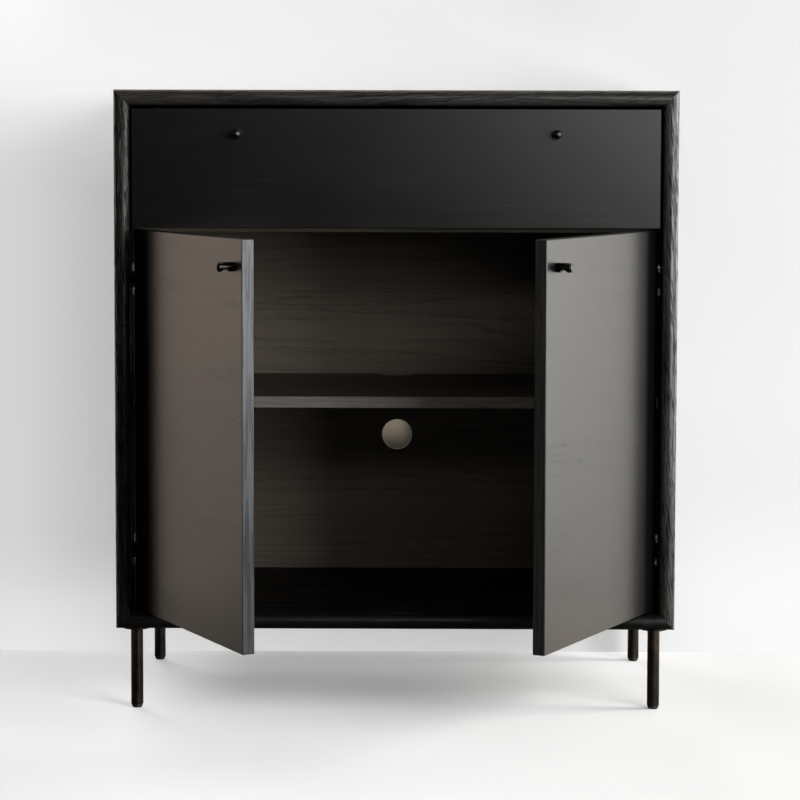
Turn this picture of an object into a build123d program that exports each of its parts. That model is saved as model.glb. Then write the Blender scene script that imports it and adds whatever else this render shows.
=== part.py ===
"""Media cabinet: a mitred, bullnosed carcass on four round legs, one wide drawer, two doors.

Millimetres. +X is the viewer's right, +Y runs from the front to the back, +Z is up and
Z = 0 is the floor. The drawer is shut and both doors stand open at door_open_angle.
The origin lies on the floor, midway between the opened doors' foremost edge and the back.
"""

import os
from math import cos, radians, sin

from build123d import *

# Carcass
width = 914.4
depth = 457.2
height = 1016.0
leg_height = 136.5
board = 25.4
nose_flat = 0.4
rabbet_width = 10.0
back_thickness = 6.0
divider_thickness = 19.0
divider_below_drawer = 8.0
divider_behind_fronts = 16.0
dado_depth = 6.0

# Shelf
shelf_thickness = 19.0
shelf_rise = 352.9
shelf_setback = 48.5
shelf_side_gap = 1.0
shelf_back_gap = 1.0
notch_width = 68.0
notch_depth = 34.0
cable_hole_radius = 27.0
cable_hole_rise = 243.1
shelf_pin_radius = 2.5
shelf_pin_reach = 9.0
shelf_pin_depth = 10.0
shelf_pin_inset = 50.0

# Fronts
front_setback = 10.0
front_thickness = 20.0
arris = 1.0
drawer_side_reveal = 3.5
drawer_top_reveal = 4.5
drawer_front_height = 193.1
drawer_to_door_gap = 3.5
door_bottom_reveal = 3.5
door_hinge_reveal = 3.5
door_meeting_gap = 3.0
door_open_angle = 62.0

# Concealed cup hinges, with one pin each
lower_hinge_rise = 94.6
upper_hinge_drop = 82.5
pin_from_side = 24.0
pin_behind_front = 10.5
pin_radius = 1.5
pin_running_gap = 0.05
cup_radius = 17.5
cup_depth = 14.0
cup_wall = 1.0
cup_edge_distance = 22.5
cup_fit = 0.15
cup_lip = 1.0
cup_flange = 1.2
cup_screw_spacing = 45.0
cup_screw_offset = 9.5
cup_ear_width = 14.0
ear_thickness = 2.0
ear_gap = 0.3
ear_rise = 3.5
arm_width = 12.0
arm_thickness = 3.0
arm_knuckle_radius = 3.2
arm_bend_radius = 26.5
arm_stem_angle = 51.5
arm_end = 78.0
arm_run_start = 43.0
plate_thickness = 2.0
plate_saddle = 1.8
plate_center = 47.0
plate_height = 54.0
plate_wing = 12.0
plate_spine_width = 16.0
plate_screw_spacing = 43.0
plate_spine_front = 38.0

# Knobs
knob_radius = 7.4
knob_length = 26.0
knob_dome = 2.2
knob_rim = 0.8
groove_radius = 5.8
groove_depth = 4.4
groove_center = 13.0
drawer_knob_x = 258.8
drawer_knob_drop = 41.3
door_knob_drop = 42.3
door_knob_inset = 35.0
knob_screw_radius = 2.0
knob_screw_head_radius = 4.5
knob_screw_head = 2.4
knob_screw_bite = 9.0
knob_head_room = 1.0

# Drawer box
box_side = 12.0
box_height = 140.0
box_length = 400.0
box_bottom_drop = 22.0
box_bottom = 6.0
box_bottom_rise = 10.0
box_groove = 5.0

# Ball-bearing drawer slides, three members each
slide_space = 12.7
slide_screw_inset = 35.0
slide_gauge = 1.2
slide_height = 45.0
slide_ball_space = 2.5
slide_running_gap = 0.4
slide_center_rise = 70.0
slide_cover = 9.0
slide_nest_gap = 1.2

# Legs
leg_radius = 10.0
leg_inset_side = 31.4
leg_inset_front = 37.5
disc_radius = 24.0
disc_thickness = 3.5
glide_radius = 9.0
glide_foot_radius = 7.2
glide_height = 5.5
stud_radius = 4.0
stud_reach = 16.0

# Wood screws, of which only the heads are modelled
screw_head_radius = 4.0
screw_head = 2.2
thin_head = 0.8
number_of_screws_across = 4
number_of_screws_up = 3

# Sizes that follow from the ones above
half_opening = width / 2 - board
body_bottom = leg_height + board
body_top = height - board
door_width = half_opening - door_hinge_reveal - door_meeting_gap / 2
drawer_front_top = body_top - drawer_top_reveal
drawer_front_bottom = drawer_front_top - drawer_front_height
door_top = drawer_front_bottom - drawer_to_door_gap
door_bottom = body_bottom + door_bottom_reveal
hinge_heights = (door_bottom + lower_hinge_rise, door_top - upper_hinge_drop)
divider_underside = drawer_front_bottom - divider_below_drawer
shelf_top = body_bottom + shelf_rise
cable_hole_height = body_bottom + cable_hole_rise
pin_to_edge = pin_from_side - door_hinge_reveal
free_reach = door_width - pin_to_edge
open_sin = sin(radians(door_open_angle))
open_cos = cos(radians(door_open_angle))
door_reach = max(free_reach * open_sin + (pin_behind_front - arris) * open_cos,
                 (free_reach - arris) * open_sin + pin_behind_front * open_cos)
front = (door_reach - depth - front_setback - pin_behind_front) / 2
back = front + depth
fronts_y = front + front_setback
pin_y = fronts_y + pin_behind_front
pin_x = half_opening - pin_from_side
back_face = back - back_thickness
sides = {"left": -1, "right": 1}

os.makedirs("parts", exist_ok=True)


def save(piece, name):
    """Name a finished piece and write it to its own file."""
    piece.part.label = name
    export_step(piece.part, f"parts/{name}.step")


def plane_at(base, x, y, z, toward=1):
    """A plane at a point of the base frame, facing along its Y axis (1) or against it (-1)."""
    origin = base.from_local_coords(Vector(x, y, z))
    return Plane(origin=origin, x_dir=base.x_dir, z_dir=base.y_dir * toward)


def door_frame(side):
    """The door's frame: its origin on the hinge pins, X along the opened door, Y to its back."""
    turn = radians(side * door_open_angle)
    return Plane(origin=(side * pin_x, pin_y, 0), x_dir=(cos(turn), sin(turn), 0), z_dir=(0, 0, 1))


def screw_head_on(plane, rise=screw_head):
    """The round head of a wood screw, driven home on a plane."""
    with BuildPart(mode=Mode.PRIVATE) as head:
        with BuildSketch(plane):
            Circle(screw_head_radius)
        extrude(amount=rise)
    return head.part


# Carcass boards

def board_section(plane):
    """A board's cross-section: half-round nose at the front, rabbet for the back at the rear."""
    nose = (board - nose_flat) / 2
    with BuildSketch(plane) as section:
        with BuildLine():
            Line((back, 0), (front + nose, 0))
            RadiusArc((front + nose, 0), (front, nose), nose)
            Line((front, nose), (front, board - nose))
            RadiusArc((front, board - nose), (front + nose, board), nose)
            Polyline((front + nose, board), (back_face, board), (back_face, board - rabbet_width),
                     (back, board - rabbet_width), (back, 0))
        make_face()
    return section.sketch


def mitre(side, end):
    """The 45 degree cut at one corner of the carcass, facing the top or bottom board."""
    z = height if end > 0 else leg_height
    return Plane(origin=(side * width / 2, 0, z), x_dir=(0, 1, 0), z_dir=(-side, 0, end))


mid_height = (height + leg_height) / 2
half_height = (height - leg_height) / 2

with BuildPart() as top_panel:
    extrude(board_section(Plane((0, 0, height), x_dir=(0, 1, 0), z_dir=(-1, 0, 0))),
            amount=width / 2, both=True)
    for side in sides.values():
        split(bisect_by=mitre(side, 1), keep=Keep.TOP)
save(top_panel, "top_panel")


def leg_centers():
    """Where the four legs stand."""
    for name, side in sides.items():
        yield f"front_{name}", side * (width / 2 - leg_inset_side), front + leg_inset_front
        yield f"rear_{name}", side * (width / 2 - leg_inset_side), back - leg_inset_front


with BuildPart() as bottom_panel:
    extrude(board_section(Plane((0, 0, leg_height), x_dir=(0, 1, 0), z_dir=(1, 0, 0))),
            amount=width / 2, both=True)
    for side in sides.values():
        split(bisect_by=mitre(side, -1), keep=Keep.TOP)
    for name, x, y in leg_centers():
        with Locations((x, y, leg_height)):
            Cylinder(stud_radius, stud_reach, mode=Mode.SUBTRACT,
                     align=(Align.CENTER, Align.CENTER, Align.MIN))
save(bottom_panel, "bottom_panel")

slide_z = drawer_front_bottom + box_bottom_drop + slide_center_rise
box_front = fronts_y + front_thickness
slide_screw_y = (box_front + slide_screw_inset, box_front + box_length - slide_screw_inset)
shelf_front = front + shelf_setback
shelf_back = back_face - shelf_back_gap
shelf_pin_y = (shelf_front + shelf_pin_inset, shelf_back - shelf_pin_inset)
shelf_pin_z = shelf_top - shelf_thickness - shelf_pin_radius
plate_y = fronts_y + plate_center
divider_front = fronts_y + front_thickness + divider_behind_fronts


for name, side in sides.items():
    with BuildPart() as side_panel:
        extrude(board_section(Plane((side * width / 2, 0, mid_height), x_dir=(0, 1, 0),
                                    z_dir=(0, 0, side))), amount=half_height, both=True)
        for end in (-1, 1):
            split(bisect_by=mitre(side, end), keep=Keep.BOTTOM)
        with Locations((side * half_opening, (divider_front + back_face) / 2,
                        divider_underside + divider_thickness / 2)):
            Box(2 * dado_depth, back_face - divider_front, divider_thickness, mode=Mode.SUBTRACT)
        for y in shelf_pin_y:
            with Locations(Location((side * half_opening, y, shelf_pin_z), (0, 90, 0))):
                Cylinder(shelf_pin_radius, 2 * shelf_pin_depth, mode=Mode.SUBTRACT)
    save(side_panel, f"{name}_side_panel")

with BuildPart() as divider_panel:
    with Locations((0, (divider_front + back_face) / 2, divider_underside)):
        Box(2 * (half_opening + dado_depth), back_face - divider_front, divider_thickness,
            align=(Align.CENTER, Align.CENTER, Align.MIN))
    chamfer(divider_panel.edges().filter_by(Axis.X).group_by(Axis.Y)[0], arris)
save(divider_panel, "divider_panel")

# Back, with its cable hole and its screws into the rabbets

back_width = width - 2 * (board - rabbet_width)
back_bottom = leg_height + board - rabbet_width
back_top = height - board + rabbet_width
rabbet_middle = rabbet_width / 2


def back_screw_points():
    """Screw positions round the edge of the back."""
    x_end = back_width / 2 - rabbet_middle
    z_low = back_bottom + rabbet_middle
    z_high = back_top - rabbet_middle
    for step in range(number_of_screws_across):
        x = -x_end + 2 * x_end * step / (number_of_screws_across - 1)
        yield x, z_low
        yield x, z_high
    for step in range(1, number_of_screws_up):
        z = z_low + (z_high - z_low) * step / number_of_screws_up
        yield -x_end, z
        yield x_end, z


with BuildPart() as back_panel:
    with Locations((0, back_face, (back_bottom + back_top) / 2)):
        Box(back_width, back_thickness, back_top - back_bottom,
            align=(Align.CENTER, Align.MIN, Align.CENTER))
    with BuildSketch(plane_at(Plane.XY, 0, back, cable_hole_height)):
        Circle(cable_hole_radius)
    extrude(amount=-back_thickness, mode=Mode.SUBTRACT)
save(back_panel, "back_panel")

with BuildPart() as back_screws:
    for x, z in back_screw_points():
        add(screw_head_on(plane_at(Plane.XY, x, back, z), thin_head))
save(back_screws, "back_screws")

# Shelf on its four pins

with BuildPart() as shelf:
    with Locations((0, (shelf_front + shelf_back) / 2, shelf_top)):
        Box(2 * (half_opening - shelf_side_gap), shelf_back - shelf_front, shelf_thickness,
            align=(Align.CENTER, Align.CENTER, Align.MAX))
    chamfer(shelf.edges().filter_by(Axis.X).group_by(Axis.Y)[0], arris)
    with BuildSketch(Plane.XY.offset(shelf_top - shelf_thickness)):
        with Locations((0, shelf_back)):
            Ellipse(notch_width / 2, notch_depth)
    extrude(amount=shelf_thickness, mode=Mode.SUBTRACT)
save(shelf, "shelf")

with BuildPart() as shelf_pins:
    for side in sides.values():
        for y in shelf_pin_y:
            with Locations(Location((side * (half_opening + (shelf_pin_depth - shelf_pin_reach) / 2),
                                     y, shelf_pin_z), (0, 90, 0))):
                Cylinder(shelf_pin_radius, shelf_pin_depth + shelf_pin_reach)
save(shelf_pins, "shelf_pins")

# Legs: a rod with a stud into the carcass, a disc round the stud and a glide on the floor

disc_underside = leg_height - disc_thickness

for name, x, y in leg_centers():
    with BuildPart() as leg:
        with Locations((x, y, glide_height)):
            Cylinder(leg_radius, disc_underside - glide_height,
                     align=(Align.CENTER, Align.CENTER, Align.MIN))
        with Locations((x, y, disc_underside)):
            Cylinder(stud_radius, disc_thickness + stud_reach, align=(Align.CENTER, Align.CENTER, Align.MIN))
    save(leg, f"{name}_leg")

    with BuildPart() as leg_disc:
        with Locations((x, y, disc_underside)):
            Cylinder(disc_radius, disc_thickness, align=(Align.CENTER, Align.CENTER, Align.MIN))
        chamfer(leg_disc.edges().group_by(Axis.Z)[0], disc_thickness / 4)
        with Locations((x, y, disc_underside)):
            Cylinder(stud_radius, 2 * disc_thickness, mode=Mode.SUBTRACT)
    save(leg_disc, f"{name}_leg_disc")

    with BuildPart() as glide:
        with BuildSketch(Plane(origin=(x, y, 0), x_dir=(1, 0, 0), z_dir=(0, -1, 0))):
            with BuildLine():
                Polyline((0, 0), (glide_foot_radius, 0), (glide_radius, glide_height / 2),
                         (glide_radius, glide_height), (0, glide_height), close=True)
            make_face()
        revolve(axis=Axis((x, y, 0), (0, 0, 1)))
    save(glide, f"{name}_glide")

# Drawer slides, each a channel in a channel in a channel

slide_nest_step = slide_gauge + slide_nest_gap
outer_half = slide_height / 2
middle_half = outer_half - slide_gauge - slide_ball_space
inner_half = middle_half - slide_gauge - slide_ball_space


def channel_section(side, web, reach, half, lip):
    """A channel's section: a web at one distance from the side board, flanges to another."""
    wall = slide_gauge if reach > web else -slide_gauge
    plane = Plane(origin=(side * half_opening, box_front, slide_z), x_dir=(-side, 0, 0),
                  z_dir=(0, -1, 0) if side < 0 else (0, 1, 0))
    with BuildSketch(plane) as section:
        with BuildLine():
            Polyline((web, -half), (reach, -half), (reach, -half + slide_gauge + lip),
                     (reach - wall, -half + slide_gauge + lip), (reach - wall, -half + slide_gauge),
                     (web + wall, -half + slide_gauge), (web + wall, half - slide_gauge),
                     (reach - wall, half - slide_gauge), (reach - wall, half - slide_gauge - lip),
                     (reach, half - slide_gauge - lip), (reach, half), (web, half), close=True)
        make_face()
    return section.sketch, plane


for name, side in sides.items():
    lip = slide_ball_space - slide_running_gap
    members = {
        "fixed": (0.0, slide_cover, outer_half, lip),
        "middle": (slide_nest_step, slide_cover + slide_nest_step, middle_half, lip),
        "drawer": (slide_space, 2 * slide_nest_step, inner_half, slide_gauge),
    }
    for member, (web, reach, half, member_lip) in members.items():
        with BuildPart() as slide_member:
            section, plane = channel_section(side, web, reach, half, member_lip)
            extrude(section, amount=box_length * (1 if plane.z_dir.Y > 0 else -1))
        save(slide_member, f"{name}_slide_{member}_member")

with BuildPart() as slide_screws:
    for side in sides.values():
        for y in slide_screw_y:
            head_plane = Plane((side * (half_opening - slide_gauge), y, slide_z), x_dir=(0, 1, 0),
                               z_dir=(-side, 0, 0))
            add(screw_head_on(head_plane, thin_head))
save(slide_screws, "slide_screws")

# Drawer: an applied front on a grooved box

box_half = half_opening - slide_space
box_low = drawer_front_bottom + box_bottom_drop
box_back = box_front + box_length
panel_low = box_low + box_bottom_rise
inner_half_width = box_half - box_side
drawer_knob_z = drawer_front_top - drawer_knob_drop

with BuildPart() as drawer_front:
    with Locations((0, fronts_y, drawer_front_bottom)):
        Box(2 * (half_opening - drawer_side_reveal), front_thickness, drawer_front_height,
            align=(Align.CENTER, Align.MIN, Align.MIN))
    chamfer(drawer_front.edges(), arris)
    for side in sides.values():
        with BuildSketch(plane_at(Plane.XY, side * drawer_knob_x, fronts_y, drawer_knob_z)):
            Circle(knob_screw_radius)
        extrude(amount=front_thickness, mode=Mode.SUBTRACT)
save(drawer_front, "drawer_front")

for name, side in sides.items():
    with BuildPart() as drawer_side:
        with Locations((side * (box_half - box_side / 2), box_front, box_low)):
            Box(box_side, box_length, box_height, align=(Align.CENTER, Align.MIN, Align.MIN))
        with Locations((side * inner_half_width, box_front, panel_low)):
            Box(2 * box_groove, box_length, box_bottom, mode=Mode.SUBTRACT,
                align=(Align.CENTER, Align.MIN, Align.MIN))
    save(drawer_side, f"drawer_{name}_side")

with BuildPart() as drawer_box_front:
    with Locations((0, box_front, box_low)):
        Box(2 * inner_half_width, box_side, box_height, align=(Align.CENTER, Align.MIN, Align.MIN))
    with Locations((0, box_front + box_side, panel_low)):
        Box(2 * inner_half_width, 2 * box_groove, box_bottom, mode=Mode.SUBTRACT,
            align=(Align.CENTER, Align.CENTER, Align.MIN))
    for side in sides.values():
        with BuildSketch(plane_at(Plane.XY, side * drawer_knob_x, box_front, drawer_knob_z)):
            Circle(knob_screw_head_radius + knob_head_room)
        extrude(amount=box_side, mode=Mode.SUBTRACT)
save(drawer_box_front, "drawer_box_front")

with BuildPart() as drawer_back:
    with Locations((0, box_back, panel_low + box_bottom)):
        Box(2 * inner_half_width, box_side, box_low + box_height - panel_low - box_bottom,
            align=(Align.CENTER, Align.MAX, Align.MIN))
save(drawer_back, "drawer_back")

with BuildPart() as drawer_bottom:
    with Locations((0, box_back, panel_low)):
        Box(2 * (inner_half_width + box_groove), box_length - box_side + box_groove, box_bottom,
            align=(Align.CENTER, Align.MAX, Align.MIN))
save(drawer_bottom, "drawer_bottom")


# Knobs and the screws that hold them from behind

def knob(face):
    """A round pull standing on a plane: straight sides, a domed end and a finger groove underneath."""
    profile = Plane(origin=face.origin, x_dir=face.x_dir, z_dir=face.x_dir.cross(face.z_dir))
    with BuildPart(mode=Mode.PRIVATE) as pull:
        with BuildSketch(profile) as half_section:
            with BuildLine():
                Line((0, knob_screw_bite), (0, knob_length))
                TangentArc((0, knob_length), (knob_radius, knob_length - knob_dome), tangent=(1, 0))
                Polyline((knob_radius, knob_length - knob_dome), (knob_radius, 0), (knob_screw_radius, 0),
                         (knob_screw_radius, knob_screw_bite), (0, knob_screw_bite))
            make_face()
            outer_corners = half_section.vertices().group_by(Axis.X)[-1]
            fillet(outer_corners.sort_by(Axis.Y)[-1], knob_rim)
        revolve(axis=Axis(face.origin, face.z_dir))
        with BuildSketch(Plane(origin=face.origin, x_dir=face.z_dir, z_dir=face.x_dir)):
            with Locations((groove_center, knob_radius + groove_radius - groove_depth)):
                Circle(groove_radius)
        extrude(amount=2 * knob_radius, both=True, mode=Mode.SUBTRACT)
    return pull.part


def knob_screw(face):
    """A machine screw whose head sits on the back of a front and whose shank ends in the knob."""
    with BuildPart(mode=Mode.PRIVATE) as screw:
        with BuildSketch(face):
            Circle(knob_screw_radius)
        extrude(amount=front_thickness + knob_screw_bite)
        with BuildSketch(face):
            Circle(knob_screw_head_radius)
        extrude(amount=-knob_screw_head)
    return screw.part


for name, side in sides.items():
    with BuildPart() as drawer_knob:
        add(knob(plane_at(Plane.XY, side * drawer_knob_x, fronts_y, drawer_knob_z, -1)))
    save(drawer_knob, f"drawer_{name}_knob")

with BuildPart() as drawer_knob_screws:
    for side in sides.values():
        add(knob_screw(plane_at(Plane.XY, side * drawer_knob_x, box_front, drawer_knob_z, -1)))
save(drawer_knob_screws, "drawer_knob_screws")

# Doors, in the frame that turns with them

leaf_front = -pin_behind_front
leaf_back = leaf_front + front_thickness
cup_from_pin = cup_edge_distance - pin_to_edge
knob_reach = free_reach - door_knob_inset
knob_z = door_top - door_knob_drop

for name, side in sides.items():
    turned_frame = door_frame(side)
    cup_x = -side * cup_from_pin
    cup_screw_x = -side * (cup_from_pin + cup_screw_offset)

    with BuildPart() as door:
        with BuildSketch(turned_frame.offset(door_bottom)):
            with Locations((-side * (free_reach - pin_to_edge) / 2, (leaf_front + leaf_back) / 2)):
                Rectangle(door_width, front_thickness)
        extrude(amount=door_top - door_bottom)
        chamfer(door.edges(), arris)
        for z in hinge_heights:
            with BuildSketch(plane_at(turned_frame, cup_x, leaf_back, z, -1)):
                Circle(cup_radius + cup_fit)
            extrude(amount=cup_depth, mode=Mode.SUBTRACT)
        with BuildSketch(plane_at(turned_frame, -side * knob_reach, leaf_front, knob_z)):
            Circle(knob_screw_radius)
        extrude(amount=front_thickness, mode=Mode.SUBTRACT)
    save(door, f"{name}_door")

    with BuildPart() as door_knob:
        add(knob(plane_at(turned_frame, -side * knob_reach, leaf_front, knob_z, -1)))
    save(door_knob, f"{name}_door_knob")

    with BuildPart() as door_knob_screw:
        add(knob_screw(plane_at(turned_frame, -side * knob_reach, leaf_back, knob_z, -1)))
    save(door_knob_screw, f"{name}_door_knob_screw")

    # Hinge cups, let into the door's back, with two ears that hold the pin

    with BuildPart() as hinge_cups:
        for z in hinge_heights:
            mouth = plane_at(turned_frame, cup_x, leaf_back, z)
            with BuildSketch(mouth):
                Circle(cup_radius)
            extrude(amount=-cup_depth)
            with BuildSketch(mouth):
                Circle(cup_radius + cup_lip)
                for end in (-1, 1):
                    with Locations((-side * cup_screw_offset, end * cup_screw_spacing / 2)):
                        Circle(cup_ear_width / 2)
                make_hull()
            extrude(amount=cup_flange)
            with BuildSketch(mouth.offset(cup_flange)):
                Circle(cup_radius - cup_wall)
            extrude(amount=cup_wall - cup_flange - cup_depth, mode=Mode.SUBTRACT)
            for end in (-1, 1):
                ear_low = z + end * (arm_width / 2 + ear_gap + ear_thickness / 2) - ear_thickness / 2
                with BuildSketch(turned_frame.offset(ear_low)):
                    Circle(ear_rise)
                    with Locations((0, (leaf_back - cup_depth + cup_wall) / 2)):
                        Rectangle(2 * ear_rise, cup_depth - cup_wall - leaf_back)
                    Circle(pin_radius, mode=Mode.SUBTRACT)
                extrude(amount=ear_thickness)
    save(hinge_cups, f"{name}_hinge_cups")

    with BuildPart() as hinge_pins:
        half_pin = arm_width / 2 + ear_gap + ear_thickness
        for z in hinge_heights:
            with BuildSketch(turned_frame.offset(z)):
                Circle(pin_radius)
            extrude(amount=half_pin, both=True)
    save(hinge_pins, f"{name}_hinge_pins")

    with BuildPart() as cup_screws:
        for z in hinge_heights:
            for end in (-1, 1):
                add(screw_head_on(plane_at(turned_frame, cup_screw_x, leaf_back + cup_flange,
                                           z + end * cup_screw_spacing / 2)))
    save(cup_screws, f"{name}_cup_screws")

    # Hinge arms: a knuckle on the pin, a bend round the door's edge, a run along the side board

    arm_run_x = plate_thickness + plate_saddle + arm_thickness / 2

    with BuildPart() as hinge_arms:
        for z in hinge_heights:
            with BuildSketch(Plane((side * half_opening, fronts_y, z))):
                stem = radians(arm_stem_angle)
                pin_at = Vector(-side * pin_from_side, pin_behind_front)
                bend_start = pin_at + Vector(-side * sin(stem), cos(stem)) * arm_bend_radius
                bend_middle = pin_at + Vector(-side * sin(stem / 2), cos(stem / 2)) * arm_bend_radius
                bend_end = pin_at + Vector(0, arm_bend_radius)
                run_start = Vector(-side * arm_run_x, arm_run_start)
                run_end = Vector(-side * arm_run_x, arm_end)
                with BuildLine():
                    Line(pin_at, bend_start)
                    ThreePointArc(bend_start, bend_middle, bend_end)
                    Polyline(bend_end, run_start, run_end)
                trace(line_width=arm_thickness)
                with Locations(bend_start, bend_end, run_start):
                    Circle(arm_thickness / 2)
                with Locations(pin_at):
                    Circle(arm_knuckle_radius)
                    Circle(pin_radius + pin_running_gap, mode=Mode.SUBTRACT)
            extrude(amount=arm_width / 2, both=True)
    save(hinge_arms, f"{name}_hinge_arms")

    with BuildPart() as hinge_plates:
        for z in hinge_heights:
            wall = Plane((side * half_opening, fronts_y, z), x_dir=(0, 1, 0), z_dir=(-side, 0, 0))
            spine_middle = (plate_spine_front + arm_end) / 2
            spine_length = arm_end - plate_spine_front
            with BuildSketch(wall):
                with Locations((spine_middle, 0)):
                    Rectangle(spine_length, plate_spine_width)
                with Locations((plate_center, 0)):
                    SlotOverall(plate_height, plate_wing, rotation=90)
            extrude(amount=plate_thickness)
            with BuildSketch(wall.offset(plate_thickness)):
                with Locations(((arm_run_start + arm_end) / 2, 0)):
                    Rectangle(arm_end - arm_run_start, arm_width)
            extrude(amount=plate_saddle)
    save(hinge_plates, f"{name}_hinge_plates")

    with BuildPart() as plate_screws:
        for z in hinge_heights:
            for end in (-1, 1):
                add(screw_head_on(Plane((side * (half_opening - plate_thickness), plate_y,
                                         z + end * plate_screw_spacing / 2), x_dir=(0, 1, 0),
                                        z_dir=(-side, 0, 0))))
    save(plate_screws, f"{name}_plate_screws")
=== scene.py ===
import math

import bmesh
import bpy
from mathutils import Matrix, Vector


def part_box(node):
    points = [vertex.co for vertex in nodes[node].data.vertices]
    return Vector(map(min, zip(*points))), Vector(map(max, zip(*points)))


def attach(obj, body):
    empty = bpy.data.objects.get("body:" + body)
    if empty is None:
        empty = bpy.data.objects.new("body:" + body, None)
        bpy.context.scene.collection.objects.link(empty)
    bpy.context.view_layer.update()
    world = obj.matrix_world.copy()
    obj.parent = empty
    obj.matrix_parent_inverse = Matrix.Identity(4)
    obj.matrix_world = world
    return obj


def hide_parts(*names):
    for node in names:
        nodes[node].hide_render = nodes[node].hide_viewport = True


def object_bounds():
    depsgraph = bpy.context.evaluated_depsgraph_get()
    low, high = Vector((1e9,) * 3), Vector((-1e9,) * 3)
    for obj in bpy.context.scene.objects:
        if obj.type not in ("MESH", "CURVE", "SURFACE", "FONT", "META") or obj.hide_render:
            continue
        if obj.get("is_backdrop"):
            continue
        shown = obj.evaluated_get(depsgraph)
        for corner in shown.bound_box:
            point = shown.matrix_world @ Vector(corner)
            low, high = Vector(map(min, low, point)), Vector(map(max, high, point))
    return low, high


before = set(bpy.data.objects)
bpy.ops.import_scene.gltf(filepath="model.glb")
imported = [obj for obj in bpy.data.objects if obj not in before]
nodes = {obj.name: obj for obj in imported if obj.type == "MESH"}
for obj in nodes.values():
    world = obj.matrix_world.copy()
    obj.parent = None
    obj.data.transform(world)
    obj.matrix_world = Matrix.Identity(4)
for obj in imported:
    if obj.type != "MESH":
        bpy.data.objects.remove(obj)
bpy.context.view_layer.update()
front_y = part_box("top_panel")[0].y

DOOR_OPEN = math.radians(62)
GRAIN_ALONG_X = (0, 0, 0)
GRAIN_ALONG_Y = (0, 0, math.radians(-90))
GRAIN_ALONG_Z = (0, math.radians(90), 0)
DOOR_RIGHTWARD = (1, 0, 0)
DOOR_LEFTWARD = (-1, 0, 0)
FORWARD = (0, -1, 0)
BACKWARD = (0, 1, 0)
WHITE = (1, 1, 1, 1)


class Value:
    """A shader socket that takes part in sums. Each sum adds one Math node."""

    def __init__(self, finish, socket):
        self.finish = finish
        self.socket = socket

    def __add__(self, other):
        return self.finish.reckon("ADD", self, other)

    def __radd__(self, other):
        return self.finish.reckon("ADD", other, self)

    def __sub__(self, other):
        return self.finish.reckon("SUBTRACT", self, other)

    def __rsub__(self, other):
        return self.finish.reckon("SUBTRACT", other, self)

    def __mul__(self, other):
        return self.finish.reckon("MULTIPLY", self, other)

    def __rmul__(self, other):
        return self.finish.reckon("MULTIPLY", other, self)


class Finish:
    """One node material, or the world's own nodes."""

    def __init__(self, name, owner=None):
        self.material = owner or bpy.data.materials.new(name)
        self.material.use_nodes = True
        self.tree = self.material.node_tree
        self.tree.nodes.clear()

    def node(self, kind, settings=None, sockets=None, output=0):
        made = self.tree.nodes.new(kind)
        for name, value in (settings or {}).items():
            setattr(made, name, value)
        for name, value in (sockets or {}).items():
            if isinstance(value, Value):
                self.tree.links.new(value.socket, made.inputs[name])
            else:
                made.inputs[name].default_value = value
        return Value(self, made.outputs[output] if made.outputs else None)

    def reckon(self, operation, *values):
        return self.node("ShaderNodeMath", {"operation": operation}, dict(enumerate(values)))

    def place(self, turn=(0, 0, 0), shift=(0, 0, 0)):
        """Object coordinates, turned so that the grain runs along X."""
        point = self.node("ShaderNodeTexCoord", output="Object")
        return self.node("ShaderNodeMapping", None, {"Vector": point, "Rotation": turn, "Location": shift})

    def along(self, axis):
        """One of the object coordinates, in metres."""
        return self.node("ShaderNodeSeparateXYZ", None, {"Vector": self.place()}, axis)

    def ray(self, kind):
        """1 for a kind of ray, such as those from the camera, and 0 for all others."""
        return self.node("ShaderNodeLightPath", output=f"Is {kind} Ray")

    def noise(self, point, size, detail=2.0, rough=0.5, warp=0.0):
        """Noise with its own size in each direction, as repeats per metre."""
        spread = self.node("ShaderNodeMapping", None, {"Vector": point, "Scale": size})
        return self.node("ShaderNodeTexNoise", None, {
            "Vector": spread, "Scale": 1.0, "Detail": detail, "Roughness": rough, "Distortion": warp})

    def ease(self, value, low, high, to_low=0.0, to_high=1.0):
        """Goes smoothly from to_low to to_high while value goes from low to high."""
        return self.node("ShaderNodeMapRange", {"interpolation_type": "SMOOTHSTEP"}, {
            "Value": value, "From Min": low, "From Max": high, "To Min": to_low, "To Max": to_high})

    def blend(self, amount, first, second):
        return self.node("ShaderNodeMix", {"data_type": "RGBA"}, {0: amount, 6: first, 7: second}, 2)

    def bump(self, height, depth):
        return self.node("ShaderNodeBump", None, {"Height": height, "Distance": depth, "Strength": 1.0})

    def mixed(self, amount, first, second):
        return self.node("ShaderNodeMixShader", None, {0: amount, 1: first, 2: second})

    def glow(self, tint, strength):
        return self.node("ShaderNodeEmission", None, {"Color": tint, "Strength": strength})

    def closed(self, shader):
        self.node("ShaderNodeOutputMaterial", None, {"Surface": shader})
        return self.material

    def surface(self, dull=None, **sockets):
        """The closing shader, with sockets named in words joined by _. Where dull is 1 it has no gloss."""
        named = {name.replace("_", " "): value for name, value in sockets.items()}
        shader = self.node("ShaderNodeBsdfPrincipled", None, named)
        if dull:
            matt = self.node("ShaderNodeBsdfDiffuse", None, {"Color": sockets["Base_Color"]})
            shader = self.mixed(dull, shader, matt)
        return self.closed(shader)


def grey(level, warm=0.0):
    return (level * (1 + warm), level, level * (1 - warm), 1)


def dress(material, *names):
    for name in names:
        for slot in nodes[name].material_slots:
            slot.material = material


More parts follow.
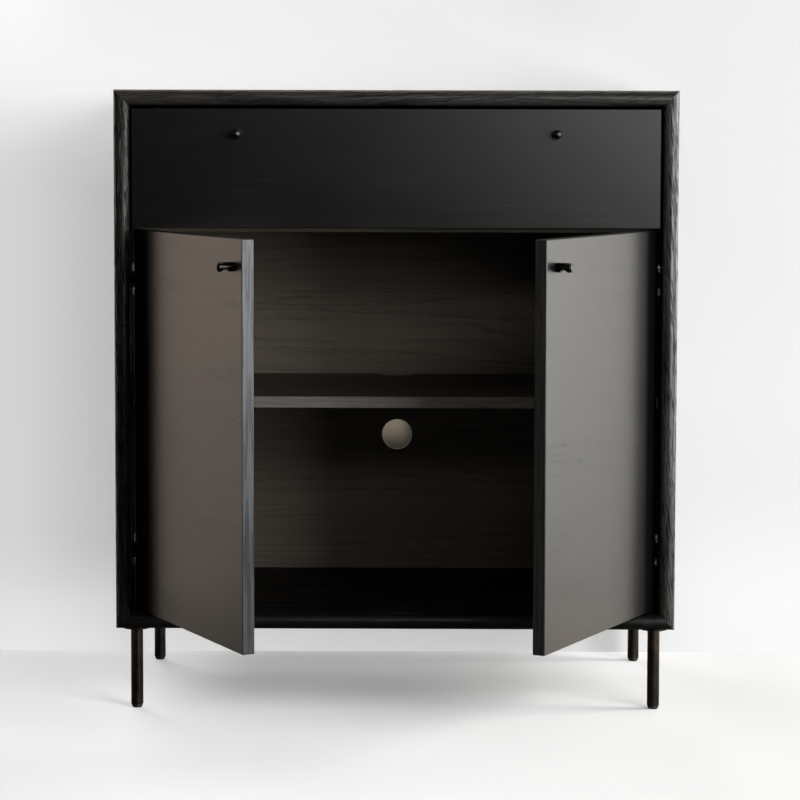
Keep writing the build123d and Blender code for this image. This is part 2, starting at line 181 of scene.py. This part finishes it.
# Patterns in the oak, as repeats per metre along and across the grain
GROWTH = (0.8, 13, 13)
RINGS_IN_GROWTH = 13
PORE_PATCHES = (2.5, 16, 16)
PORES = (30, 760, 760)
FIBRES = (5, 330, 330)
CLOUDS = (2.2, 6, 6)
EDGE_LINES = (9, 270, 270)
STROKES = (28, 380, 380)
STROKE_SLANT = math.radians(7)
NOSE_DEPTH = 0.012
FLAT_FROM = 0.030


def stained_oak(name, turn, shift, black, ridge, relief, gloss, rings, pore_share, dullness,
                shine=0.4, warm=0.1, strokes=0.0, flat_dullness=0.5, band=None, edge=None, edge_lines=0.5):
    """Black-stained oak under satin lacquer: growth rings drawn out along the grain, open pores, fine fibres.

    pore_share is how much of the face shows open pores, and dullness is how matt they are. strokes is how
    strongly the brushed grain shows on a rounded front edge, behind which the flat faces are calmer and more
    matt. band is the direction that the side coloured with edge faces; on the doors' free edges that colour
    is painted light and shade, pale and bluish where the left door's edge catches the key light and dark on
    the right door's edge, which faces away from it.
    """
    oak = Finish(name)
    point = oak.place(turn, shift)
    dull = 0
    calm = 1
    if band:
        normal = oak.node("ShaderNodeTexCoord", output="Normal")
        facing = oak.node("ShaderNodeMapping", {"vector_type": "VECTOR"},
                          {"Vector": normal, "Rotation": turn})
        towards = oak.node("ShaderNodeVectorMath", {"operation": "DOT_PRODUCT"},
                           {0: facing, 1: band}, "Value")
        on_edge = oak.ease(towards, 0.6, 0.8)
        if band in (DOOR_LEFTWARD, DOOR_RIGHTWARD):
            upright = oak.node("ShaderNodeMapping", None, {"Vector": point, "Rotation": GRAIN_ALONG_Z})
            point = oak.node("ShaderNodeMix", {"data_type": "VECTOR"}, {0: on_edge, 4: point, 5: upright}, 1)
        lines = oak.noise(point, EDGE_LINES, detail=4.0, rough=0.7)
        dull = edge_lines * on_edge * oak.ease(lines, 0.44, 0.60)
    if strokes:
        slanted = oak.place((turn[0], turn[1] + STROKE_SLANT, turn[2]), shift)
        marks = oak.ease(oak.noise(slanted, STROKES, rough=0.55), 0.52, 0.60)
        flat = oak.ease(oak.along("Y"), front_y + NOSE_DEPTH, front_y + FLAT_FROM)
        calm = 1 - 0.85 * flat
        dull = strokes * marks * (1 - 0.8 * flat)
    growth = oak.noise(point, GROWTH, rough=0.4, warp=0.2)
    ring = oak.reckon("FRACT", growth * RINGS_IN_GROWTH)
    early_wood = oak.ease(ring, 0.05, 0.6, 1.0, 0.0) * oak.ease(ring, 0.0, 0.08)
    patches = oak.noise(point, PORE_PATCHES)
    patches = oak.ease(patches, 0.72 - 0.4 * pore_share, 0.80 - 0.35 * pore_share)
    pores = oak.ease(oak.noise(point, PORES, rough=0.6), 0.50, 0.64) * patches
    fibres = oak.noise(point, FIBRES, detail=3.0, rough=0.6)
    cloud = oak.noise(point, CLOUDS, detail=3.0, rough=0.55)
    open_grain = pores * (0.4 + 0.6 * early_wood)
    light = 0.3 * cloud + 0.4 * fibres + 0.3 * (1 - early_wood * rings)
    colour = oak.blend(oak.ease(light, 0.3, 0.8), grey(black, warm), grey(ridge, warm))
    # The side that band faces takes the colour edge; on the doors' free edges this is painted light and
    # shade.
    if band:
        colour = oak.blend(on_edge * 0.9, colour, edge)
    colour = oak.blend(open_grain * dullness + dull * 0.8, colour, grey(black * 0.4, warm))
    rough = gloss + 0.06 * (fibres - 0.5) + 0.05 * (cloud - 0.5) + 0.12 * rings * early_wood
    height = (0.25 * fibres - 0.7 * open_grain - rings * early_wood) * calm
    if strokes:
        dull = dull + flat_dullness * flat
    return oak.surface(dull=open_grain * dullness + dull, Base_Color=colour, Roughness=rough,
                       Normal=oak.bump(height, relief), Specular_IOR_Level=shine)


# Oak boards: solid members, veneered fronts, and the boards inside, paler partly as painted light
SOLID = {"black": 0.003, "ridge": 0.030, "relief": 0.0007, "gloss": 0.34,
         "rings": 0.9, "pore_share": 0.8, "dullness": 0.6, "strokes": 0.75}
# The side boards are lit and shaded copies of one oak: the left one's grain is painted darker as shade, and
# the right one shines more as painted light.
LEFT_SIDE = {**SOLID, "ridge": 0.010, "gloss": 0.22, "shine": 0.28, "flat_dullness": 0.8}
RIGHT_SIDE = {**SOLID, "gloss": 0.28, "shine": 0.48, "flat_dullness": 0.85}
TOP = {**SOLID, "strokes": 0.5, "flat_dullness": 0.8}
# The bottom board is painted darker than the top, as the shade low on the cabinet.
BOTTOM = {**SOLID, "black": 0.001, "ridge": 0.005, "strokes": 0.3, "shine": 0.22}
VENEER = {"black": 0.002, "ridge": 0.004, "relief": 0.00004, "gloss": 0.30,
          "rings": 0.08, "pore_share": 0.5, "dullness": 0.2}
DRAWER_FRONT = {**VENEER, "gloss": 0.25, "pore_share": 0.65, "dullness": 0.3}
# The left door's edge is painted pale and bluish as the key light it catches; the right door's is darker, as
# shade.
LEFT_DOOR = {**VENEER, "band": DOOR_RIGHTWARD, "edge": (0.055, 0.058, 0.062, 1)}
RIGHT_DOOR = {**VENEER, "band": DOOR_LEFTWARD, "edge": (0.016, 0.015, 0.013, 1)}
# The boards inside are paler than the oak outside: partly their own charcoal colour, partly painted light for
# the light that the lamps do not bring into the cabinet.
INSIDE = {"black": 0.045, "ridge": 0.075, "relief": 0.00006, "gloss": 0.46,
          "rings": 0.35, "pore_share": 0.5, "dullness": 0.3, "shine": 0.08, "warm": 0.2}
SHELF = {**INSIDE, "black": 0.035, "ridge": 0.06,
         "band": FORWARD, "edge": (0.19, 0.17, 0.156, 1), "edge_lines": 0.3}
# The back board's inner face is painted paler still, as light inside the cabinet; its back face, which band
# picks out, keeps a darker colour.
BACK = {**INSIDE, "black": 0.095, "ridge": 0.16, "pore_share": 0.7, "dullness": 0.45,
        "band": BACKWARD, "edge": (0.034, 0.031, 0.028, 1), "edge_lines": 0.3}
dress(stained_oak("oak_top", GRAIN_ALONG_X, (0.3, 0.1, 0.0), **TOP), "top_panel")
dress(stained_oak("oak_bottom", GRAIN_ALONG_X, (1.7, 0.6, 0.2), **BOTTOM), "bottom_panel")
dress(stained_oak("oak_left_side", GRAIN_ALONG_Z, (0.2, 0.45, 0.1), **LEFT_SIDE), "left_side_panel")
dress(stained_oak("oak_right_side", GRAIN_ALONG_Z, (2.4, 0.15, 0.3), **RIGHT_SIDE), "right_side_panel")
dress(stained_oak("oak_divider", GRAIN_ALONG_X, (3.1, 0.25, 0.7), **INSIDE), "divider_panel")
dress(stained_oak("oak_shelf", GRAIN_ALONG_X, (4.6, 0.35, 0.4), **SHELF), "shelf")
dress(stained_oak("oak_back", GRAIN_ALONG_X, (5.2, 0.85, 0.2), **BACK), "back_panel")
dress(stained_oak("oak_drawer_front", GRAIN_ALONG_X, (6.3, 0.4, 0.9), **DRAWER_FRONT), "drawer_front")
dress(stained_oak("oak_left_door", (0, 0, DOOR_OPEN), (7.5, 0.2, 0.5), **LEFT_DOOR), "left_door")
dress(stained_oak("oak_right_door", (0, 0, -DOOR_OPEN), (8.8, 0.9, 0.1), **RIGHT_DOOR), "right_door")


def birch(name, turn, shift):
    """Clear-lacquered birch ply of the drawer box."""
    wood = Finish(name)
    point = wood.place(turn, shift)
    growth = wood.noise(point, (1.1, 9, 9), warp=0.3)
    ring = wood.reckon("FRACT", growth * 9)
    fibres = wood.noise(point, (9, 520, 520), detail=3.0, rough=0.6)
    flecks = wood.ease(wood.noise(point, (70, 520, 520), detail=1.0), 0.64, 0.74)
    tone = 0.6 * wood.ease(ring, 0.0, 1.0) + 0.4 * fibres
    colour = wood.blend(tone, (0.50, 0.34, 0.20, 1), (0.63, 0.47, 0.30, 1))
    colour = wood.blend(flecks * 0.5, colour, (0.33, 0.20, 0.11, 1))
    rough = 0.42 + 0.12 * (fibres - 0.5) + 0.1 * flecks
    return wood.surface(Base_Color=colour, Roughness=rough,
                        Normal=wood.bump(fibres - 0.6 * flecks, 0.00008))


# Drawer box
dress(birch("birch_ends", GRAIN_ALONG_X, (0.4, 0.2, 0.1)), "drawer_box_front", "drawer_back", "drawer_bottom")
dress(birch("birch_sides", GRAIN_ALONG_Y, (0.9, 0.5, 0.3)), "drawer_left_side", "drawer_right_side")

# Marks on metal, as repeats per metre, and the sizes of the areas painted near-black as shade
TURNED = (160, 160, 900)
PLATED = (300, 300, 900)
DRAWN = (900, 30, 900)
MARK_DEPTH = 0.00003
PLATE_HEIGHT = 0.054
PLATE_SHADED_MIDDLE = (0.0130, 0.0136)
SLIDE_SHADED_END = (0.018, 0.014)


def metal(name, dark, pale, rough, brush):
    """Metal with faint turning marks and a cloudy sheen."""
    plate = Finish(name)
    point = plate.place()
    marks = plate.noise(point, brush, detail=3.0, rough=0.6)
    cloud = plate.noise(point, (45, 45, 45), detail=3.0, rough=0.55)
    colour = plate.blend(plate.ease(0.5 * marks + 0.5 * cloud, 0.3, 0.7), dark, pale)
    gloss = rough + 0.16 * (cloud - 0.5) + 0.1 * (marks - 0.5)
    return plate.surface(Base_Color=colour, Roughness=gloss, Metallic=1.0,
                         Normal=plate.bump(marks, MARK_DEPTH))


def hinge_plate(name, low, high):
    """A nickel plate for each hinge, its middle between the two screw pads painted near-black as the shade
    where the hinge arm sits.
    """
    plate = Finish(name)
    height = plate.along("Z")
    from_lower = plate.reckon("ABSOLUTE", height - (low + PLATE_HEIGHT / 2))
    from_upper = plate.reckon("ABSOLUTE", height - (high - PLATE_HEIGHT / 2))
    on_pad = plate.ease(plate.reckon("MINIMUM", from_lower, from_upper), *PLATE_SHADED_MIDDLE)
    marks = plate.noise(plate.place(), PLATED, detail=3.0, rough=0.6)
    pad = plate.blend(marks, (0.70, 0.68, 0.64, 1), (0.85, 0.83, 0.79, 1))
    # Painted shade: the plate's middle is near-black.
    colour = plate.blend(on_pad, grey(0.006), pad)
    rough = plate.ease(on_pad, 0.0, 1.0, 0.5, 0.42) + 0.1 * (marks - 0.5)
    return plate.surface(Base_Color=colour, Roughness=rough, Metallic=1.0 - 0.65 * on_pad,
                         Normal=plate.bump(marks, MARK_DEPTH))


def slide_steel(name, front):
    """Zinc-plated slide members, their ends behind the drawer front painted near-black as shade."""
    steel = Finish(name)
    shaded_end = steel.ease(steel.along("Y"), front + SLIDE_SHADED_END[0], front + SLIDE_SHADED_END[1])
    marks = steel.noise(steel.place(), DRAWN, detail=3.0, rough=0.6)
    colour = steel.blend(marks, (0.42, 0.44, 0.46, 1), (0.58, 0.60, 0.62, 1))
    # Painted shade: the ends behind the drawer front are near-black.
    colour = steel.blend(shaded_end, colour, grey(0.006))
    rough = 0.34 + 0.2 * shaded_end + 0.1 * (marks - 0.5)
    return steel.surface(Base_Color=colour, Roughness=rough, Metallic=1.0,
                         Normal=steel.bump(marks, MARK_DEPTH))


def moulded_plastic(name):
    """Black plastic with a fine pebbled face."""
    plastic = Finish(name)
    point = plastic.place()
    pebbles = plastic.noise(point, (1500, 1500, 1500))
    cloud = plastic.noise(point, (60, 60, 60))
    colour = plastic.blend(cloud, grey(0.010), grey(0.018))
    return plastic.surface(Base_Color=colour, Roughness=0.5 + 0.2 * (pebbles - 0.5),
                           Normal=plastic.bump(pebbles, 0.00004))


# Metal and plastic
bronze = metal("dark_bronze", (0.012, 0.011, 0.010, 1), (0.030, 0.028, 0.026, 1), 0.22, TURNED)
# The legs take a lighter copy of the knobs' dark bronze, painted light that brightens their reflections.
leg_bronze_painted_lighter = metal("leg_bronze_painted_lighter", (0.020, 0.016, 0.013, 1), (0.048, 0.039, 0.032, 1), 0.36, TURNED)
nickel = metal("nickel", (0.55, 0.53, 0.50, 1), (0.70, 0.68, 0.65, 1), 0.24, PLATED)
# Dark metal for the hinge arms, painted shade: they sit in the shade behind the doors' hinge edges.
shaded_arm_metal = metal("shaded_arm_metal", grey(0.03), grey(0.06), 0.30, PLATED)
slide_zinc = slide_steel("slide_zinc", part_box("left_slide_fixed_member")[0].y)
for name in nodes:
    if "knob" in name:
        dress(bronze, name)
    if name.endswith(("_leg", "_leg_disc")):
        dress(leg_bronze_painted_lighter, name)
    if "screw" in name or "hinge" in name or "pins" in name:
        dress(shaded_arm_metal if "arms" in name else nickel, name)
    if name.endswith("_member"):
        dress(slide_zinc, name)
for name in ("left_hinge_plates", "right_hinge_plates"):
    low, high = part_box(name)
    dress(hinge_plate(name, low.z, high.z), name)
dress(moulded_plastic("black_plastic"), *[name for name in nodes if name.endswith("_glide")])

# Screw heads with a cross recess: shares of the head's radius, then shares of its height
CROWN = 0.8
RECESS_REACH = 0.55
RECESS_HALF_WIDTH = 0.13
RECESS_TAPER = 0.75
RECESS_DEPTH = 0.6
RIM_DROP = 0.4
HEAD_SEGMENTS = 24
TURN_FROM_HEAD_TO_HEAD = math.radians(37)
SAME_POINT = 0.00001


def separate_solids(name):
    """The points of each separate solid in a node."""
    copy = bmesh.new()
    copy.from_mesh(nodes[name].data)
    bmesh.ops.remove_doubles(copy, verts=copy.verts, dist=SAME_POINT)
    waiting = set(copy.verts)
    solids = []
    for first in copy.verts:
        if first not in waiting:
            continue
        waiting.remove(first)
        found = [first]
        for vert in found:
            near = [edge.other_vert(vert) for edge in vert.link_edges]
            found += [other for other in near if other in waiting]
            waiting.difference_update(near)
        solids.append([vert.co.copy() for vert in found])
    copy.free()
    return solids


def pushed(shape, edges, grow, drop):
    """Draws a loop of edges out into a wall, grown and dropped, and returns the new loop."""
    made = bmesh.ops.extrude_edge_only(shape, edges=edges)["geom"]
    verts = [part for part in made if isinstance(part, bmesh.types.BMVert)]
    bmesh.ops.scale(shape, vec=(grow, grow, 1), verts=verts)
    bmesh.ops.translate(shape, vec=(0, 0, -drop), verts=verts)
    return [part for part in made if isinstance(part, bmesh.types.BMEdge) and set(part.verts) <= set(verts)]


def screw_head(radius, height):
    """A round head on Z with a sloped rim and a cross recess."""
    shape = bmesh.new()
    crown = bmesh.ops.create_circle(shape, segments=HEAD_SEGMENTS, radius=radius * CROWN)["verts"]
    rim = list(shape.edges)
    arm = radius * RECESS_REACH
    half = radius * RECESS_HALF_WIDTH
    quarter = [(arm, -half), (arm, half), (half, half)]
    corners = [Matrix.Rotation(math.radians(90 * turn), 3, "Z") @ Vector((x, y, 0))
               for turn in range(4) for x, y in quarter]
    cross = [shape.verts.new(corner) for corner in corners]
    slot = [shape.edges.new((cross[step - 1], cross[step])) for step in range(len(cross))]
    bmesh.ops.translate(shape, vec=(0, 0, height), verts=crown + cross)
    bmesh.ops.bridge_loops(shape, edges=rim + slot)
    bmesh.ops.contextual_create(shape, geom=pushed(shape, slot, RECESS_TAPER, height * RECESS_DEPTH))
    side = pushed(shape, rim, 1 / CROWN, height * RIM_DROP)
    bmesh.ops.contextual_create(shape, geom=pushed(shape, side, 1.0, height * (1 - RIM_DROP)))
    bmesh.ops.recalc_face_normals(shape, faces=shape.faces)
    return shape


def screw_heads(name, node, body, outward):
    """A head with its recess turned its own way, in the place of each plain head of a node."""
    outward = Vector(outward).normalized()
    heads = bmesh.new()
    for count, points in enumerate(separate_solids(node)):
        low = Vector([min(point[axis] for point in points) for axis in range(3)])
        high = Vector([max(point[axis] for point in points) for axis in range(3)])
        centre = (low + high) / 2
        rises = [(point - centre).dot(outward) for point in points]
        radius = max((point - centre - outward * rise).length for point, rise in zip(points, rises))
        one = screw_head(radius, max(rises) - min(rises))
        place = Matrix.Translation(centre + outward * min(rises))
        place = place @ outward.to_track_quat("Z", "Y").to_matrix().to_4x4()
        place = place @ Matrix.Rotation(TURN_FROM_HEAD_TO_HEAD * count, 4, "Z")
        bmesh.ops.transform(one, matrix=place, verts=one.verts)
        loose = bpy.data.meshes.new("loose_head")
        one.to_mesh(loose)
        one.free()
        heads.from_mesh(loose)
        bpy.data.meshes.remove(loose)
    mesh = bpy.data.meshes.new(name)
    heads.to_mesh(mesh)
    heads.free()
    made = bpy.data.objects.new(name, mesh)
    made.data.materials.append(nickel)
    bpy.context.scene.collection.objects.link(made)
    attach(made, body)
    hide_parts(node)


screw_heads("back_screw_heads", "back_screws", "carcass", BACKWARD)
for side, across in (("left", 1), ("right", -1)):
    inner_face = (across * math.sin(DOOR_OPEN), math.cos(DOOR_OPEN), 0)
    screw_heads(f"{side}_cup_screw_heads", f"{side}_cup_screws", f"{side}_door", inner_face)
    screw_heads(f"{side}_plate_screw_heads", f"{side}_plate_screws", "carcass", (across, 0, 0))

# Stage: how light the paint is, its own lift (painted light), how far it is dulled (painted shade), and its
# strength in reflections (painted reflections)
FLOOR_LEVEL = 0.8
FLOOR_LIFT = (0.37, 0.12)
FLOOR_DULLED = 0.85
FLOOR_BOUNCE_DULLED = 0.75
FLOOR_RIGHT_DULLED = 0.33
FLOOR_FRONT_DULLED = 0.08
FLOOR_SHADOW_BENEATH = 0.55
FLOOR_LEFT_MIRRORED = 0.4
FLOOR_RIGHT_MIRRORED = 1.4
FLOOR_FADE = (1.0, 1.8)
WALL_BEHIND_FRONT = 0.494
WALL_LEVEL = 0.65
WALL_LIFT = (0.46, 0.0)
OPEN_WALL_LIFT = 0.11
FAR_LEFT_LIFT = 0.11
LOW_RIGHT_LIFT = 0.1
HOLE_LIFT = 0.15
HOLE_HEIGHT = 0.400
WALL_RIGHT_DULLED = 0.02
WALL_UPPER_RIGHT_DULLED = 0.05
WALL_UPPER_LEFT_DULLED = 0.13
WALL_LEFT_MIRRORED = 1.09
WALL_RIGHT_MIRRORED = 1.08
CARD_BEFORE_FRONT = 3.4
CARD_MIRRORED = 4.0


def sheet(name, corners, material):
    """A flat stage surface with four corners."""
    shape = bmesh.new()
    shape.faces.new([shape.verts.new(corner) for corner in corners])
    mesh = bpy.data.meshes.new(name)
    shape.to_mesh(mesh)
    shape.free()
    made = bpy.data.objects.new(name, mesh)
    made.data.materials.append(material)
    bpy.context.scene.collection.objects.link(made)
    made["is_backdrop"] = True
    return made


def painted(finish, level, lift, tint, dull):
    """White paint that is lit by the lamps, with its own lift as painted light where the camera or a
    reflection sees it, and dulled towards black as painted shade.
    """
    cloud = finish.noise(finish.place(), (3, 3, 3))
    shade = finish.blend(cloud, grey(level - 0.01), grey(level + 0.01))
    shade = finish.blend(dull, shade, grey(0.0))
    paint = finish.node("ShaderNodeBsdfDiffuse", None, {"Color": shade})
    return finish.node("ShaderNodeAddShader", None, {0: paint, 1: finish.glow(tint, lift)})


def floor_finish():
    """Pale floor that fades into the white of the studio a few steps away, clear from below, with painted
    light and shadow where the camera sees it and painted reflections beside the cabinet.
    """
    floor = Finish("floor_finish")
    seen = floor.ray("Camera")
    mirrored = floor.ray("Glossy")
    bounced = floor.ray("Diffuse")
    across = floor.along("X")
    inward = floor.along("Y")
    away = floor.node("ShaderNodeVectorMath", {"operation": "LENGTH"}, {0: floor.place()}, "Value")
    # Painted light and shadow for the camera: the lift is stronger to the left, dulled beneath the cabinet
    # where its shadow falls, and weaker towards the front.
    shadow_beneath = floor.ease(across, -0.44, -0.22) * floor.ease(across, 0.40, 0.20)
    shadow_beneath = floor.ease(inward, -0.06, 0.14) * shadow_beneath
    lift = floor.ease(across, -0.4, 0.6, *FLOOR_LIFT) * (1 - FLOOR_SHADOW_BENEATH * shadow_beneath)
    lift = lift * floor.ease(inward, -0.65, -0.2, 0.7, 1.0)
    # Painted reflections of the floor beside the cabinet, stronger to the right and warm.
    beside = floor.ease(across, 0.5, 0.9, 0.0, FLOOR_RIGHT_MIRRORED)
    beside = beside + floor.ease(across, -0.5, -0.9, 0.0, FLOOR_LEFT_MIRRORED)
    tint = floor.blend(mirrored, WHITE, (1, 0.86, 0.70, 1))
    # Painted shade: the floor is darker to the right and in front of the cabinet, and darker in reflections
    # and in the light it bounces.
    on_right = floor.ease(across, 0.25, 0.7) * floor.ease(inward, -0.5, 0.25, 0.72, 0.88)
    in_front = floor.ease(across, 0.0, 0.3) * floor.ease(across, 0.56, 0.42)
    in_front = floor.ease(inward, -0.05, -0.3) * in_front
    dull = mirrored * FLOOR_DULLED + bounced * FLOOR_BOUNCE_DULLED
    dull = dull + seen * (on_right * FLOOR_RIGHT_DULLED + in_front * FLOOR_FRONT_DULLED)
    paint = painted(floor, FLOOR_LEVEL, seen * lift + mirrored * beside, tint, dull)
    clear = floor.node("ShaderNodeBsdfTransparent")
    from_below = floor.node("ShaderNodeNewGeometry", output="Backfacing")
    return floor.closed(floor.mixed(floor.ease(away, *FLOOR_FADE) + from_below, paint, clear))


def wall_finish():
    """White wall with painted light and shadow where the camera sees it, brighter in reflections to the
    right, that the camera sees through from behind.
    """
    wall = Finish("wall_finish")
    seen = wall.ray("Camera")
    mirrored = wall.ray("Glossy")
    across = wall.along("X")
    upward = wall.along("Z")
    # Painted shadow: behind the cabinet, where its shadow falls, the lift is taken away, save for a warm
    # painted light in the cable hole.
    covered = wall.ease(upward, 0.16, 0.22) * wall.ease(upward, 0.98, 0.92)
    covered = wall.ease(across * across, 0.19, 0.14) * covered
    # Painted light above and below the cabinet, far to the left, and low to the right.
    above = wall.ease(upward, 0.84, 0.98) * wall.ease(upward, 1.2, 1.0, 0.1, 1.0)
    below = wall.ease(upward, 0.22, 0.08)
    in_hole = wall.ease(upward, HOLE_HEIGHT - 0.03, HOLE_HEIGHT + 0.022)
    in_hole = in_hole * wall.ease(across, 0.03, 0.0, 0.1, 1.0)
    lift = wall.ease(across, -0.7, 1.05, *WALL_LIFT) * (1 - covered) + HOLE_LIFT * covered * in_hole
    lift = lift + (above + below) * wall.ease(across, 0.45, 0.1) * OPEN_WALL_LIFT
    lift = lift + wall.ease(upward, 0.35, 0.05) * wall.ease(across, 0.35, 0.6, 0.0, LOW_RIGHT_LIFT)
    lift = lift + wall.ease(across, -0.5, -0.72, 0.0, FAR_LEFT_LIFT) * (1 - above) * (1 - 0.5 * below)
    # Painted reflection: the wall glows for reflections, darker low down and warm to the left.
    sideways = wall.ease(across, 0.2, 1.2, WALL_LEFT_MIRRORED, WALL_RIGHT_MIRRORED)
    glow = seen * lift + mirrored * sideways * wall.ease(upward, -0.2, 1.1, 0.5, 1.0)
    warmth = wall.blend(wall.ease(across, -0.5, 0.8), (1, 0.77, 0.60, 1), (1, 0.93, 0.83, 1))
    plain = wall.blend(covered, WHITE, (1, 0.84, 0.60, 1))
    tint = wall.blend(mirrored, plain, warmth)
    # Painted shade: the wall is darkened to the right, at the upper right and at the top left.
    upper_right = wall.ease(across, 0.3, 0.55) * wall.ease(upward, 0.45, 0.8)
    upper_left = wall.ease(across, 0.5, 0.25) * wall.ease(upward, 1.0, 1.18)
    dull = wall.ease(across, 0.1, 0.55, 0.0, WALL_RIGHT_DULLED) + upper_right * WALL_UPPER_RIGHT_DULLED
    dull = seen * (dull + upper_left * WALL_UPPER_LEFT_DULLED)
    paint = painted(wall, WALL_LEVEL, glow, tint, dull)
    clear = wall.node("ShaderNodeBsdfTransparent")
    from_behind = wall.node("ShaderNodeNewGeometry", output="Backfacing")
    return wall.closed(wall.mixed(from_behind, paint, clear))


def card_finish():
    """A white card beside the camera that only reflections see, brighter to the right and towards its top."""
    card = Finish("card_finish")
    strength = card.ray("Glossy") * card.ease(card.along("X"), -0.1, 1.1)
    strength = strength * card.ease(card.along("Z"), 0.63, 0.96) * CARD_MIRRORED
    clear = card.node("ShaderNodeBsdfTransparent")
    return card.closed(card.node("ShaderNodeAddShader", None, {0: card.glow(WHITE, strength), 1: clear}))


def upright_corners(left, right, y, bottom, top):
    return [(left, y, bottom), (right, y, bottom), (right, y, top), (left, y, top)]


sheet("floor", [(-3, -3, 0), (3, -3, 0), (3, 3, 0), (-3, 3, 0)], floor_finish())
wall = sheet("wall", upright_corners(-5, 5, front_y + WALL_BEHIND_FRONT, 0, 4), wall_finish())
wall.visible_shadow = False
card = sheet("card", upright_corners(-0.2, 1.7, front_y - CARD_BEFORE_FRONT, 0.4, 1.8), card_finish())
card.visible_shadow = False


def soft_box(name, centre, target, width, height, watts, tint=(1, 1, 1)):
    lamp = bpy.data.lights.new(name, "AREA")
    lamp.shape = "RECTANGLE"
    lamp.size = width
    lamp.size_y = height
    lamp.energy = watts
    lamp.color = tint
    made = bpy.data.objects.new(name, lamp)
    made.location = centre
    made.rotation_euler = (Vector(target) - Vector(centre)).to_track_quat("-Z", "Y").to_euler()
    made.visible_camera = False
    bpy.context.scene.collection.objects.link(made)


# Light
CABINET = (0, front_y, 0.6)
SHELF_INSIDE = (0, front_y + 0.3, 0.55)
CABINET_BACK = (0, front_y + 0.45, 0.55)
soft_box("key_light", (2.06, front_y - 2.45, 1.2), CABINET, width=1.9, height=2.1, watts=125,
         tint=(0.975, 0.99, 1.0))
soft_box("side_light", (2.6, front_y + 0.1, 0.8), CABINET, width=0.9, height=1.4, watts=75,
         tint=(1.0, 0.975, 0.93))
soft_box("front_light", (1.1, front_y - 3.1, 1.9), CABINET, width=1.0, height=0.5, watts=5)
soft_box("centre_light", (0, front_y - 3.3, 1.75), SHELF_INSIDE, width=0.9, height=0.4, watts=5)
soft_box("fill_light", (-2.3, front_y - 1.9, 1.3), CABINET, width=2.0, height=1.6, watts=3.5)
soft_box("back_light", (-1.6, front_y + 3.2, 1.9), CABINET_BACK, width=1.8, height=1.8, watts=60)

DOME_LIGHT = 0.2
BACKDROP = 0.93
world = bpy.data.worlds.new("studio")
bpy.context.scene.world = world
sky = Finish("studio", world)
direction = sky.node("ShaderNodeTexCoord", output="Generated")
up = sky.node("ShaderNodeSeparateXYZ", None, {"Vector": direction}, "Z")
dome = sky.ease(up, 0.2, 0.95, 0.0, DOME_LIGHT)
seen = sky.ray("Camera")
strength = dome * (1 - seen) + BACKDROP * seen
background = sky.node("ShaderNodeBackground", None, {"Color": WHITE, "Strength": strength})
sky.node("ShaderNodeOutputWorld", None, {"Surface": background})

# Camera
PHOTO_WIDTH = 800
FOCAL_PIXELS = 2550.7
SENSOR = 36
LENS_SHIFT = -0.1085
RIGHT_OF_MIDDLE = 0.02692
BEFORE_FRONT = 4.11957
ABOVE_FLOOR = 0.95109
LOOKS_DOWN = 4.1
ROLL = -0.1385
YAW = 0.288
camera_data = bpy.data.cameras.new("camera")
camera_data.sensor_width = SENSOR
camera_data.lens = FOCAL_PIXELS / PHOTO_WIDTH * SENSOR
camera_data.shift_y = LENS_SHIFT
camera = bpy.data.objects.new("camera", camera_data)
camera.location = (RIGHT_OF_MIDDLE, front_y - BEFORE_FRONT, ABOVE_FLOOR)
camera.rotation_euler = (math.radians(90 - LOOKS_DOWN), math.radians(ROLL), math.radians(YAW))
bpy.context.scene.collection.objects.link(camera)
bpy.context.scene.camera = camera
bpy.context.scene.view_settings.view_transform = "Standard"

low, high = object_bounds()
